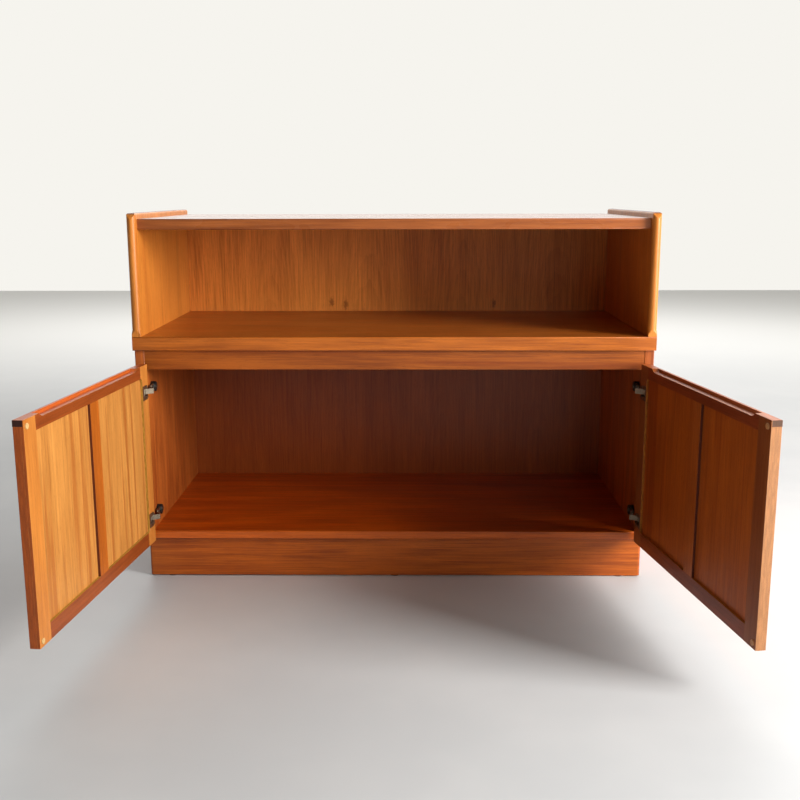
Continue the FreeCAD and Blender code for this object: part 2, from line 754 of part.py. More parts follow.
def door_matrix(open_angle):
    """Place of the left door, from its own frame, when opened by an angle."""
    matrix = Matrix()
    matrix.move(Vector(-CUP_PIVOT_ALONG, CUP_PIVOT_OUT, 0))
    matrix.rotateZ(math.radians(-open_angle))
    matrix.move(cup_pivot(open_angle))
    matrix.move(Vector(0, 0, DOOR_BOTTOM))
    return matrix


def placed(shape, matrix, side_sign):
    """A left-hand shape moved by a matrix, mirrored for the right-hand side."""
    moved = shape.copy()
    moved.transformShape(matrix)
    return sided(moved, side_sign)


# ---- hinge hardware on the carcass, modelled for the left
def boss_centre(height):
    """Centre of a round housing on the side's inner face."""
    return (-CARCASS_INNER, SHELF_FRONT + BOSS_SETBACK, DOOR_BOTTOM + height)


def boss_screws():
    """One screw through the middle of each housing."""
    head = (BOSS_SCREW_HEAD_RADIUS, BOSS_SCREW_HEAD_HEIGHT)
    fittings = []
    for height in HINGE_HEIGHTS:
        x, y, z = boss_centre(height)
        centre = (x + BOSS_HEIGHT, y, z)
        shank = (BOSS_SCREW_RADIUS, BOSS_SCREW_LENGTH)
        fittings.append(headed_screw(centre, (-1, 0, 0), head, shank))
    return fittings


def bosses():
    """Round housings that hold the arms, with a slot for the arm."""
    shapes = []
    for height in HINGE_HEIGHTS:
        x, y, z = boss_centre(height)
        body = rod(BOSS_RADIUS, (x, y, z), (1, 0, 0), BOSS_HEIGHT)
        rim = [edge for edge in body.Edges if edge.CenterOfMass.x > x + BOSS_HEIGHT - CLEARANCE]
        shapes.append(body.makeFillet(BOSS_RIM, rim[:1]))
    tools = [hinge_arm_blank(height).fuse(arm_slot(height)) for height in HINGE_HEIGHTS]
    return without(group(shapes), tools + holes(boss_screws()))


def arm_slot(height):
    """Room round the tail of the arm inside its housing."""
    _, y, z = boss_centre(height)
    half = LINK_HEIGHT / 2 + ARM_EAR + CLEARANCE
    half_thickness = ARM_THICKNESS / 2 + CLEARANCE
    end = y - ARM_TAIL_SETBACK
    return box(
        (-ARM_PIVOT_X - half_thickness, -ARM_PIVOT_X + half_thickness),
        (end - ARM_SLOT_LENGTH, end),
        (z - half, z + half),
    )


def hinge_arm_blank(height):
    """Flat tail of one arm, from its fork back into the housing."""
    _, y, z = boss_centre(height)
    half = LINK_HEIGHT / 2 + ARM_EAR
    pivot = arm_pivot()
    low_x = -ARM_PIVOT_X - ARM_THICKNESS / 2
    return box(
        (low_x, low_x + ARM_THICKNESS),
        (pivot.y + KNUCKLE_RADIUS + KNUCKLE_GAP, y - ARM_TAIL_SETBACK - CLEARANCE),
        (z - half, z + half),
    )


def hinge_arms():
    """Fixed arms: a flat tail, and a fork of two ears round the link's knuckle."""
    arms = []
    pivot = arm_pivot()
    for height in HINGE_HEIGHTS:
        z = DOOR_BOTTOM + height
        shape = hinge_arm_blank(height)
        for low in (z - LINK_HEIGHT / 2 - ARM_EAR, z + LINK_HEIGHT / 2 + 2 * CLEARANCE):
            ear_height = ARM_EAR - 2 * CLEARANCE
            ear = rod(KNUCKLE_RADIUS, (pivot.x, pivot.y, low), (0, 0, 1), ear_height)
            neck = box(
                (pivot.x - ARM_THICKNESS / 2, pivot.x + ARM_THICKNESS / 2),
                (pivot.y, pivot.y + KNUCKLE_RADIUS + KNUCKLE_GAP + CLEARANCE),
                (low, low + ear_height),
            )
            shape = shape.fuse([ear, neck])
        arms.append(shape.removeSplitter().cut(pivot_bore(pivot, z, CLEARANCE)))
    return group(arms)


def crank_links():
    """Cranked links between arm and cup, in their shut place."""
    pivot, cup = arm_pivot(), cup_pivot_closed()
    elbow = Vector(-LINK_ELBOW_X, cup.y, 0)
    half = LINK_THICKNESS / 2
    links = []
    for height in HINGE_HEIGHTS:
        middle = DOOR_BOTTOM + height
        low = middle - LINK_HEIGHT / 2
        solids = []
        for start, end in ((pivot, elbow), (elbow, cup)):
            run = end.sub(start)
            normal = Vector(-run.y, run.x, 0).normalize() * half
            corners = [start.add(normal), end.add(normal), end.sub(normal), start.sub(normal)]
            outline = Part.makePolygon([Vector(c.x, c.y, low) for c in corners + corners[:1]])
            solids.append(Part.Face(outline).extrude(UP * LINK_HEIGHT))
        for point, radius in ((pivot, KNUCKLE_RADIUS), (cup, KNUCKLE_RADIUS), (elbow, half)):
            solids.append(rod(radius, (point.x, point.y, low), (0, 0, 1), LINK_HEIGHT))
        link = solids[0].fuse(solids[1:]).removeSplitter()
        links.append(link.cut([pivot_bore(point, middle, 0.0) for point in (pivot, cup)]))
    return group(links)


def link_pins():
    """Pins fixed in the links' knuckles, turning in the arms' ears and the cups' walls."""
    ends = ((arm_pivot(), LINK_HEIGHT / 2 + ARM_EAR), (cup_pivot_closed(), CUP_PIN_REACH))
    pins = []
    for height in HINGE_HEIGHTS:
        for point, reach in ends:
            low = DOOR_BOTTOM + height - reach
            pins.append(rod(LINK_PIN_RADIUS, (point.x, point.y, low), (0, 0, 1), 2 * reach))
    return group(pins)


# ---- write the fixed structure
def write_upper_unit():
    """The open unit and the shelf board under it."""
    for side, sign in SIDES:
        shape = sided(upper_side(), sign)
        save("upper_side_" + side, without(shape, holes(DOWELS["top"], UPPER_DOWELS)))
    save("top_board", without(top_board(), holes(DOWELS["top"], UPPER_SCREWS)))
    save("upper_back", without(upper_back(), holes(UPPER_SCREWS)))
    save("shelf_board", without(shelf_board(), holes(UPPER_DOWELS, BOLTS)))


def write_carcass():
    """The lower carcass."""
    for side, sign in SIDES:
        board = sided(lower_side(), sign)
        cuts = holes(DOWELS["rail"], DOWELS["bottom"])
        cuts += [sided(hole, sign) for hole in holes(boss_screws())]
        save("lower_side_" + side, without(board, cuts))
        save("cleat_" + side, without(sided(side_cleat(), sign), holes(BOLTS)))
    save("top_rail", without(top_rail(), holes(DOWELS["rail"])))
    save("bottom_board", without(bottom_board(), holes(DOWELS["bottom"], LOWER_SCREWS)))
    save("bottom_lipping", bottom_lipping())
    save("lower_back", without(lower_back(), holes(LOWER_SCREWS)))


def write_plinth():
    """The plinth frame and its glides."""
    feet = glides()
    front = -PLINTH_DEPTH / 2
    save("plinth_front", without(plinth_rail(front, 1), holes(feet)))
    save("plinth_back", without(plinth_rail(-front, -1), holes(feet)))
    for side, sign in SIDES:
        save("plinth_end_" + side, sided(plinth_end(), sign))
    save("plinth_brace", without(plinth_brace(), holes(feet)))
    save("plinth_blocks", corner_blocks())
    save("glides", group(pieces(feet)))


def write_fastenings():
    """Dowels, bolts and screws of the fixed structure."""
    save("rail_dowels", group(pieces(DOWELS["rail"])))
    save("bottom_dowels", group(pieces(DOWELS["bottom"])))
    save("top_board_dowels", group(pieces(DOWELS["top"])))
    save("upper_side_dowels", group(pieces(UPPER_DOWELS)))
    save("unit_bolts", group(pieces(BOLTS)))
    save("upper_back_screws", group(pieces(UPPER_SCREWS)))
    save("lower_back_screws", group(pieces(LOWER_SCREWS)))


# ---- write doors and hinges, both sides
DOOR_PIECES = {
    "leaf": door_leaf,
    "stile_hinge": hinge_stile,
    "stile_free": free_stile,
    "rail_top": door_top_rail,
    "rail_bottom": door_bottom_rail,
    "muntin": muntin,
    "top_strip": top_strip,
    "bumpers": bumpers,
    "cups": hinge_cups,
    "cup_screws": lambda: group(pieces(cup_screws())),
}


def write_doors():
    """Each door's pieces at its open angle, and the hardware it hangs on."""
    for side, sign in SIDES:
        angle = OPEN_ANGLE[side]
        for name, make in DOOR_PIECES.items():
            save("door_%s_%s" % (side, name), placed(make(), door_matrix(angle), sign))
        save("hinge_bosses_" + side, sided(bosses(), sign))
        save("hinge_arms_" + side, sided(hinge_arms(), sign))
        save("boss_screws_" + side, sided(group(pieces(boss_screws())), sign))
        save("hinge_links_" + side, placed(crank_links(), link_matrix(angle), sign))
        save("hinge_pins_" + side, placed(link_pins(), link_matrix(angle), sign))


write_upper_unit()
write_carcass()
write_plinth()
write_fastenings()
write_doors()
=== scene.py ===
import json
import math

import bpy
from mathutils import Matrix, Vector


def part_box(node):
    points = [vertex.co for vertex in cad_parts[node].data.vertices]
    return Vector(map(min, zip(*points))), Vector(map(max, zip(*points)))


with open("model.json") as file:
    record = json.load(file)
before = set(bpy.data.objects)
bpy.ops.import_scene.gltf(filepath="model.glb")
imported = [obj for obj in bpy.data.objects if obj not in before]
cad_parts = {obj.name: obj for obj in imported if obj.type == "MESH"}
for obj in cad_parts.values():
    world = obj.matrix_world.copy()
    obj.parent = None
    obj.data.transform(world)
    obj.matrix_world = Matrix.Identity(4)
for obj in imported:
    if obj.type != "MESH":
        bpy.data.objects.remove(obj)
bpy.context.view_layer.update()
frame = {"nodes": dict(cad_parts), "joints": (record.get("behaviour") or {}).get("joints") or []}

NODES = frame["nodes"]
JOINTS = {joint["name"]: joint for joint in frame["joints"]}
SIDES = ("left", "right")

# ---- the doors' own frames: along from the hinge edge, out from the inner face, up
LINK_SHARE = 0.25
CUP_PIVOT = Vector((0.004, -0.007, 0.0))


def door_turn(side):
    """How far a door stands open at rest, in radians, from its joint's travel."""
    travel = JOINTS["door_%s_swing" % side]["range_deg"]
    return math.radians(max(abs(travel[0]), abs(travel[1])) * (1 - LINK_SHARE))


def door_frame(side):
    """(location, rotation, mirror) that bring a point of the row frame into a door's frame."""
    turn = door_turn(side)
    mirror = -1 if side == "right" else 1
    angle = -turn * mirror
    pivot = Vector(JOINTS["door_%s_swing" % side]["pos_m"])
    offset = Matrix.Rotation(angle, 3, "Z") @ Vector((CUP_PIVOT.x * mirror, CUP_PIVOT.y, 0.0))
    origin = pivot - offset
    origin.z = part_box("door_%s_leaf" % side)[0].z
    back = Matrix.Rotation(-angle, 3, "Z")
    return -(back @ origin), -angle, mirror


# ---- colours
def colour(red, green, blue):
    """A display colour from 0 to 255 as the linear values that shaders take."""
    linear = []
    for value in (red, green, blue):
        share = value / 255
        linear.append(share / 12.92 if share <= 0.04045 else ((share + 0.055) / 1.055) ** 2.4)
    return (*linear, 1.0)


class Graph:
    """Small helper that builds a node tree line by line."""

    def __init__(self, name):
        self.material = bpy.data.materials.new(name)
        self.material.use_nodes = True
        self.tree = self.material.node_tree
        self.tree.nodes.clear()

    def add(self, kind, inputs=(), **settings):
        """A node with its settings, and its inputs linked or set."""
        node = self.tree.nodes.new(kind)
        for key, value in settings.items():
            setattr(node, key, value)
        for key, value in dict(inputs).items():
            if isinstance(value, bpy.types.NodeSocket):
                self.tree.links.new(value, node.inputs[key])
            else:
                node.inputs[key].default_value = value
        return node

    def math(self, operation, first, second=0.0, third=0.0):
        """One arithmetic step."""
        values = {0: first, 1: second, 2: third}
        return self.add("ShaderNodeMath", values, operation=operation).outputs[0]

    def dot(self, vector, direction):
        """Dot product of two directions."""
        node = self.add("ShaderNodeVectorMath", {0: vector, 1: direction}, operation="DOT_PRODUCT")
        return node.outputs["Value"]

    def size(self, vector):
        """Length of a vector."""
        return self.add("ShaderNodeVectorMath", {0: vector}, operation="LENGTH").outputs["Value"]

    def place(self, vector, location=(0, 0, 0), turn=0.0, scale=(1, 1, 1)):
        """A point scaled, turned about the upright axis, then moved."""
        values = {"Vector": vector, "Location": location, "Rotation": (0, 0, turn), "Scale": scale}
        return self.add("ShaderNodeMapping", values, vector_type="POINT").outputs[0]

    def noise(self, vector, scale, detail=3.0, roughness=0.55, distortion=0.0):
        """Fractal noise from 0 to 1."""
        values = {
            "Vector": vector,
            "Scale": scale,
            "Detail": detail,
            "Roughness": roughness,
            "Distortion": distortion,
        }
        return self.add("ShaderNodeTexNoise", values).outputs[0]

    def remap(self, value, low, high, to_low=0.0, to_high=1.0, smooth=True):
        """A value's span stretched to another span, with its ends held."""
        values = {0: value, 1: low, 2: high, 3: to_low, 4: to_high}
        kind = "SMOOTHSTEP" if smooth else "LINEAR"
        return self.add("ShaderNodeMapRange", values, interpolation_type=kind).outputs[0]

    def mix(self, share, first, second):
        """Two colours mixed; 6 and 7 are the colour inputs of the mix node, 2 its colour output."""
        node = self.add("ShaderNodeMix", data_type="RGBA")
        for index, value in ((0, share), (6, first), (7, second)):
            if isinstance(value, bpy.types.NodeSocket):
                self.tree.links.new(value, node.inputs[index])
            else:
                node.inputs[index].default_value = value
        return node.outputs[2]

    def ramp(self, value, stops):
        """A colour ramp through (place, colour) stops."""
        node = self.add("ShaderNodeValToRGB", {0: value})
        ramp = node.color_ramp
        while len(ramp.elements) < len(stops):
            ramp.elements.new(0.5)
        for element, (place, tone) in zip(ramp.elements, stops):
            element.position = place
            element.color = tone
        return node.outputs[0]

    def bump(self, height, distance, strength):
        """Normals bent by a height pattern."""
        values = {"Height": height, "Distance": distance, "Strength": strength}
        return self.add("ShaderNodeBump", values).outputs[0]

    def finish(self, inputs):
        """The surface shader."""
        shader = self.add("ShaderNodeBsdfPrincipled", inputs)
        self.add("ShaderNodeOutputMaterial", {0: shader.outputs[0]})
        return self.material


# ---- wood in general
AXES = {"x": (0, 1, 2), "y": (1, 0, 2), "z": (2, 0, 1)}
ALONG = (1.0, 0.0, 0.0)
THROUGH = (0.0, 1.0, 0.0)
OUTWARD = (0.0, -1.0, 0.0)
UP = (0.0, 0.0, 1.0)


def grain_coordinates(graph, grain, frame_of=None):
    """Points and normals in the board's frame, and the points with the grain's axis first."""
    source = graph.add("ShaderNodeTexCoord")
    point, normal = source.outputs["Object"], source.outputs["Normal"]
    if frame_of is not None:
        location, turn, mirror = frame_of
        point = graph.place(point, location, turn)
        normal = graph.place(normal, (0, 0, 0), turn)
        point = graph.place(point, scale=(mirror, 1, 1))
        normal = graph.place(normal, scale=(mirror, 1, 1))
    split = graph.add("ShaderNodeSeparateXYZ", {0: point})
    parts = [split.outputs[index] for index in AXES[grain]]
    ordered = graph.add("ShaderNodeCombineXYZ", {0: parts[0], 1: parts[1], 2: parts[2]})
    return point, normal, ordered.outputs[0], parts


def scaled(tone, share):
    """A colour with each channel multiplied by its share, held below pure white."""
    brightest = 0.98
    return (*(min(brightest, value * factor) for value, factor in zip(tone, share)), 1.0)


# ---- teak
# Shares of the mean colour, channel by channel.
LIGHT_SHARE = (1.32, 1.38, 1.5)
DARK_SHARE = (0.60, 0.50, 0.42)
RED_SHARE = (0.70, 0.50, 0.38)
PORE_SHARE = (0.30, 0.22, 0.18)
CLOUD_SHARE = (0.86, 0.80, 0.74)
RUBBED_SHARE = (1.6, 1.7, 1.9)
LAYER_SHARE = (0.6, 0.55, 0.5)
END_DOT_SHARE = (0.5, 0.42, 0.36)
END_RING_SHARE = (1.3, 1.25, 1.2)
# How a seed moves the pattern along, across and into the board, in metres.
SEED_STEPS = (3.1, 1.7, 0.9)
# Noise frequencies per metre, along the grain, across it and deep.
WANDER_FREQUENCY = (1.1, 6.0, 6.0)
RIPPLE_FREQUENCY = (10.0, 70.0, 70.0)
WOBBLE_FREQUENCY = (2.2, 16.0, 16.0)
CLOUD_FREQUENCY = (5.0, 9.0, 9.0)
FLECK_FREQUENCY = (10.0, 430.0, 430.0)
PORE_FREQUENCY = (60.0, 1300.0, 1300.0)
LAYER_FREQUENCY = (700.0, 700.0, 140.0)
END_RING_FREQUENCY = (300.0, 300.0, 40.0)
END_DOT_FREQUENCY = 1400.0
KNOT_EDGE_FREQUENCY = 230.0
WEAR_FREQUENCY = 35.0
# Streaks: share of the length's frequency, frequency across, detail, offset from the seed.
BROAD_STREAKS = (0.16, 24.0, 3.0, 0.0)
NARROW_STREAKS = (0.03, 170.0, 4.0, 3.0)
FINE_STREAKS = (0.012, 520.0, 3.0, 5.0)
RED_STREAKS = (0.02, 62.0, 1.0, 8.0)
BROAD_WEIGHT = 0.36
NARROW_WEIGHT = 0.36
FINE_WEIGHT = 0.28
FIGURE_SPREAD = 0.20
WANDER_REACH = 0.035
RIPPLE_REACH = 0.003
# Flat-sawn arches: cones around a heart in the middle of each leaf of veneer.
CONE_SLOPE = 0.075
CONE_START = 0.03
WOBBLE_REACH = 0.016
RING_WIDTH = 0.0045
ARCH_DEPTH = 0.12
ARCH_LIFT = 0.05
WEAR_RADIUS = 0.0012
WEAR_SAMPLES = 4
EDGE_ROUGHNESS = 0.62


class Grain:
    """One board's coordinates and the patterns of teak that are drawn on them."""

    def __init__(self, name, tone, grain, frame_of, seed):
        self.graph = graph = Graph(name)
        self.tone = tone
        self.seed = seed
        self.light = scaled(tone, LIGHT_SHARE)
        self.dark = scaled(tone, DARK_SHARE)
        self.pore_tone = scaled(tone, PORE_SHARE)
        self.point, self.normal, self.ordered, parts = grain_coordinates(graph, grain, frame_of)
        self.length, width, depth = parts
        moved = tuple(seed * step for step in SEED_STEPS)
        self.shifted = graph.place(self.ordered, location=moved)
        wander = self.pattern(WANDER_FREQUENCY, 2.0, 0.5)
        swing = graph.math("MULTIPLY", graph.math("SUBTRACT", wander, 0.5), WANDER_REACH)
        ripple = self.pattern(RIPPLE_FREQUENCY, 2.0, 0.6)
        swing = graph.math("ADD", swing, graph.math("MULTIPLY", ripple, RIPPLE_REACH))
        self.across = graph.math("ADD", width, swing)
        self.deep = graph.math("ADD", depth, swing)

    def pattern(self, frequency, detail, roughness):
        """Noise with its own frequency along the grain, across it and deep."""
        return self.graph.noise(self.graph.place(self.shifted, scale=frequency), 1.0, detail, roughness)

    def streaks(self, stretch, frequency, detail, offset):
        """Noise drawn out along the wandering grain."""
        graph = self.graph
        values = {0: graph.math("MULTIPLY", self.length, stretch), 1: self.across, 2: self.deep}
        vector = graph.add("ShaderNodeCombineXYZ", values).outputs[0]
        place = self.seed + offset
        return graph.noise(graph.place(vector, location=(place, place, place)), frequency, detail, 0.6)

    def arches(self, value, strength, leaf):
        """The figure with the dark lines of flat-sawn arches, in leaves of the given width."""
        graph = self.graph
        folded = graph.math("PINGPONG", graph.math("ADD", self.across, self.seed), leaf)
        from_heart = graph.math("SUBTRACT", folded, leaf / 2)
        cone = graph.math("MULTIPLY_ADD", self.length, CONE_SLOPE, CONE_START)
        wobble = self.pattern(WOBBLE_FREQUENCY, 4.0, 0.6)
        squared = graph.math("MULTIPLY", from_heart, from_heart)
        squared = graph.math("MULTIPLY_ADD", cone, cone, squared)
        radius = graph.math("MULTIPLY_ADD", wobble, WOBBLE_REACH, graph.math("SQRT", squared))
        turns = graph.math("FRACT", graph.math("DIVIDE", radius, RING_WIDTH))
        line = graph.remap(turns, 0.2, 1.0)
        value = graph.math("MULTIPLY_ADD", line, -ARCH_DEPTH * strength, value)
        return graph.math("ADD", value, ARCH_LIFT * strength)

    def knot(self, base, height, across, size):
        """The colour with one small ragged knot."""
        graph = self.graph
        centre = (height, across, 0.0)
        away = graph.add("ShaderNodeVectorMath", {0: self.ordered, 1: centre}, operation="SUBTRACT")
        away = graph.place(away.outputs[0], scale=(0.45, 1.0, 0.0))
        torn = graph.noise(self.ordered, KNOT_EDGE_FREQUENCY, 3.0, 0.7)
        ragged = graph.math("MULTIPLY_ADD", torn, size * 1.6, size * -0.8)
        share = graph.remap(graph.math("ADD", graph.size(away), ragged), size, size * 0.2)
        return graph.mix(graph.math("MULTIPLY", share, 0.75), base, self.pore_tone)

    def layered_edge(self, base, rough, axis, tone):
        """Colour and roughness with a second colour where the surface doesn't face the axis: layered core
        on stiles and rails, painted shade on the muntin's walls.
        """
        graph = self.graph
        facing = graph.math("ABSOLUTE", graph.dot(self.normal, axis))
        share = graph.remap(facing, 0.55, 0.3)
        layers = graph.noise(graph.place(self.point, scale=LAYER_FREQUENCY), 1.0, 2.0)
        varied = graph.mix(graph.remap(layers, 0.3, 0.7), tone, scaled(tone, LAYER_SHARE))
        base = graph.mix(share, base, varied)
        return base, graph.math("MAXIMUM", rough, graph.math("MULTIPLY", share, EDGE_ROUGHNESS))

    def end_grain(self, base, axis, tone):
        """The colour with dotted end grain shown where the surface faces the axis."""
        graph = self.graph
        facing = graph.math("ABSOLUTE", graph.dot(self.normal, axis))
        share = graph.remap(facing, 0.75, 0.95)
        dots = graph.remap(graph.noise(self.point, END_DOT_FREQUENCY, 3.0, 0.7), 0.35, 0.62, 0.0, 0.6)
        rings = graph.noise(graph.place(self.point, scale=END_RING_FREQUENCY), 1.0, 2.0)
        rings = graph.remap(rings, 0.4, 0.65, 0.0, 0.5)
        varied = graph.mix(dots, tone, scaled(tone, END_DOT_SHARE))
        varied = graph.mix(rings, varied, scaled(tone, END_RING_SHARE))
        return graph.mix(share, base, varied)

    def outer_face(self, base, tint):
        """The colour with each channel multiplied on the face that looks outward."""
        graph = self.graph
        share = graph.remap(graph.dot(self.normal, OUTWARD), 0.5, 0.8)
        tinted = graph.add("ShaderNodeVectorMath", {0: base, 1: tint}, operation="MULTIPLY").outputs[0]
        return graph.mix(share, base, tinted)

    def wear(self):
        """How far the arrises are rubbed, broken up by noise."""
        graph = self.graph
        bevel = graph.add("ShaderNodeBevel", {"Radius": WEAR_RADIUS}, samples=WEAR_SAMPLES)
        true_normal = graph.add("ShaderNodeNewGeometry").outputs["Normal"]
        rubbed = graph.remap(graph.dot(bevel.outputs[0], true_normal), 0.97, 0.75)
        frequency = (WEAR_FREQUENCY, WEAR_FREQUENCY, WEAR_FREQUENCY)
        broken = graph.noise(graph.place(self.point, scale=frequency), 1.0, 4.0, 0.7)
        return graph.math("MULTIPLY", rubbed, graph.remap(broken, 0.35, 0.65, 0.05, 0.4))


def teak(name, tone, grain, frame_of=None, seed=0.0, contrast=1.0, streaks=0.35, flecks=0.3,
         roughness=0.42, coat=0.12, arches=None, knots=(), edges=None, ends=None, outside=None):
    """Oiled teak veneer.

    tone: mean colour; grain: axis of the grain in the board's frame; contrast, streaks and flecks:
    strengths of the figure; arches: (strength, width of a leaf); knots: (place along the grain,
    place across it, size); edges and ends: (axis, colour) shown where the surface doesn't face
    that axis, or does; outside: tint of the outer face.
    """
    board = Grain(name, tone, grain, frame_of, seed)
    graph = board.graph
    fine = board.streaks(*FINE_STREAKS)
    value = graph.math("MULTIPLY", board.streaks(*BROAD_STREAKS), BROAD_WEIGHT)
    value = graph.math("MULTIPLY_ADD", board.streaks(*NARROW_STREAKS), NARROW_WEIGHT, value)
    value = graph.math("MULTIPLY_ADD", fine, FINE_WEIGHT, value)
    if arches is not None:
        value = board.arches(value, *arches)
    spread = FIGURE_SPREAD / contrast
    stops = ((0.0, board.dark), (0.5, tone), (1.0, board.light))
    base = graph.ramp(graph.remap(value, 0.5 - spread, 0.5 + spread, smooth=False), stops)
    # redder streaks that run the whole length
    lines = graph.math("MULTIPLY", graph.remap(board.streaks(*RED_STREAKS), 0.56, 0.70), streaks)
    base = graph.mix(lines, base, scaled(tone, RED_SHARE))
    # pores: short dark dashes drawn out along the grain
    pores_at = graph.place(board.ordered, location=(seed, seed, seed), scale=PORE_FREQUENCY)
    pore = graph.remap(graph.noise(pores_at, 1.0, 2.0, 0.6), 0.58, 0.72)
    base = graph.mix(graph.math("MULTIPLY", pore, 0.5), base, board.pore_tone)
    # flecks: coarser dark and light dashes that keep the grain crisp from a few metres away
    flecks_at = graph.place(board.ordered, location=(seed, -seed, seed), scale=FLECK_FREQUENCY)
    dashes = graph.noise(flecks_at, 1.0, 3.0, 0.65)
    base = graph.mix(graph.remap(dashes, 0.5, 0.68, 0.0, flecks), base, board.dark)
    base = graph.mix(graph.remap(dashes, 0.48, 0.32, 0.0, flecks * 0.8), base, board.light)
    cloud = board.pattern(CLOUD_FREQUENCY, 3.0, 0.6)
    base = graph.mix(graph.remap(cloud, 0.35, 0.75, 0.0, 0.35), base, scaled(tone, CLOUD_SHARE))
    for knot in knots:
        base = board.knot(base, *knot)
    height = graph.math("SUBTRACT", graph.math("MULTIPLY", fine, 0.35), graph.math("MULTIPLY", pore, 0.8))
    gloss = graph.math("ADD", graph.math("MULTIPLY", pore, 0.18), graph.math("MULTIPLY", cloud, 0.16))
    rough = graph.math("ADD", gloss, roughness - 0.08)
    if outside is not None:
        base = board.outer_face(base, outside)
    if edges is not None:
        base, rough = board.layered_edge(base, rough, *edges)
    if ends is not None:
        base = board.end_grain(base, *ends)
    rubbed = board.wear()
    return graph.finish({
        "Base Color": graph.mix(rubbed, base, scaled(tone, RUBBED_SHARE)),
        "Roughness": graph.math("ADD", rough, graph.math("MULTIPLY", rubbed, 0.15)),
        "IOR": 1.48,
        "Specular IOR Level": 0.38,
        "Coat Weight": coat,
        "Coat Roughness": 0.3,
        "Normal": graph.bump(height, 0.00022, 0.35),
    })


# ---- the other materials
def raw_wood(name, light, dark, grain):
    """Unfinished wood of hidden blocks, cleats and dowels."""
    graph = Graph(name)
    point, _, ordered, _ = grain_coordinates(graph, grain)
    streaks = graph.noise(graph.place(ordered, scale=(4.0, 160.0, 160.0)), 1.0, 4.0, 0.6)
    fibres = graph.noise(graph.place(ordered, scale=(40.0, 1500.0, 1500.0)), 1.0, 2.0)
    base = graph.mix(graph.remap(streaks, 0.3, 0.7), light, dark)
    base = graph.mix(graph.remap(fibres, 0.5, 0.75, 0.0, 0.3), base, dark)
    stain = graph.noise(point, 11.0, 3.0)
    return graph.finish({
        "Base Color": graph.mix(graph.remap(stain, 0.5, 0.8, 0.0, 0.35), base, dark),
        "Roughness": graph.remap(fibres, 0.2, 0.8, 0.6, 0.8),
        "Specular IOR Level": 0.3,
        "Normal": graph.bump(fibres, 0.0003, 0.5),
    })


def plastic(name, tone, worn, roughness):
    """Moulded plastic with a fine texture, dust and rubbed places."""
    graph = Graph(name)
    point = graph.add("ShaderNodeTexCoord").outputs["Object"]
    texture = graph.noise(point, 1800.0, 2.0)
    dust = graph.noise(point, 160.0, 4.0, 0.7)
    return graph.finish({
        "Base Color": graph.mix(graph.remap(dust, 0.45, 0.75, 0.0, 0.5), tone, worn),
        "Roughness": graph.remap(dust, 0.3, 0.7, roughness, roughness + 0.18),
        "IOR": 1.46,
        "Normal": graph.bump(texture, 0.00008, 0.25),
    })


def metal(name, tone, stained, roughness):
    """Nickel-plated steel with fine brush marks and dull spots."""
    graph = Graph(name)
    point = graph.add("ShaderNodeTexCoord").outputs["Object"]
    marks = graph.noise(graph.place(point, scale=(400.0, 400.0, 3500.0)), 1.0, 2.0)
    spots = graph.noise(point, 420.0, 4.0, 0.7)
    return graph.finish({
        "Base Color": graph.mix(graph.remap(spots, 0.52, 0.78, 0.0, 0.7), tone, stained),
        "Metallic": 1.0,
        "Roughness": graph.math("ADD", graph.remap(marks, 0.3, 0.7, 0.0, 0.16), roughness),
        "Normal": graph.bump(marks, 0.00003, 0.3),
    })


# ---- mean colours of the pieces
TONES = {
    "upper_side": colour(205, 124, 46),
    "upper_back": colour(222, 138, 57),
    "top_board": colour(159, 88, 40),
    "shelf_board": colour(178, 96, 29),
    "top_rail": colour(150, 76, 17),
    "lower_side": colour(168, 86, 30),
    "lower_back": colour(152, 74, 23),
    "bottom_board": colour(175, 70, 2),
    "bottom_lipping": colour(190, 90, 20),
    "plinth": colour(174, 85, 15),
}
# The two doors are one teak painted as lit and shaded copies: the left door's inner colours (field,
# stiles, rails, core, bumper) carry painted light and the right door's painted shade, while the right
# door's free edge and strip ends carry painted light and the left door's painted shade. "outside" is a
# tint on the field's colour that gives both doors alike outer faces.
DOOR_LIT_AND_SHADED_LOOKS = {
    "left": {
        "seed": 11.0,
        "field": colour(195, 131, 62),
        "stile": colour(193, 120, 50),
        "rail": colour(139, 66, 22),
        "muntin": colour(172, 90, 23),
        "edge": colour(177, 83, 19),
        "end": colour(62, 26, 12),
        "strip": colour(190, 92, 34),
        "core": colour(192, 150, 60),
        "outside": (0.78, 0.60, 0.50),
        "bumper": colour(206, 170, 112),
    },
    "right": {
        "seed": 17.5,
        "field": colour(168, 81, 18),
        "stile": colour(138, 71, 30),
        "rail": colour(130, 54, 20),
        "muntin": colour(169, 85, 26),
        "edge": colour(169, 117, 74),
        "end": colour(92, 62, 44),
        "strip": colour(176, 92, 40),
        "core": colour(186, 112, 24),
        "outside": (1.08, 1.65, 4.2),
        "bumper": colour(190, 134, 84),
    },
}
# Painted shade: dark brown on the muntin's side walls stands for the shade in the gap beside the muntin.
MUNTIN_GAP_SHADE = colour(96, 38, 14)
END_RED = colour(112, 52, 22)
# Knots in the upper back: height over its foot, place across, size.
KNOTS = ((0.020, -0.152, 0.007), (0.015, -0.120, 0.007), (0.016, 0.225, 0.006))


def assign(material, *names):
    """Gives whole nodes a material."""
    for name in names:
        mesh = NODES[name].data
        mesh.materials.clear()
        mesh.materials.append(material)


def board(kind, grain, seed, suffix="", nodes=(), **look):
    """Teak on one kind of board of the fixed structure."""
    name = kind.replace("_", " ") + suffix.replace("_", " ")
    assign(teak(name, TONES[kind], grain, seed=seed, **look), *(nodes or (kind + suffix,)))


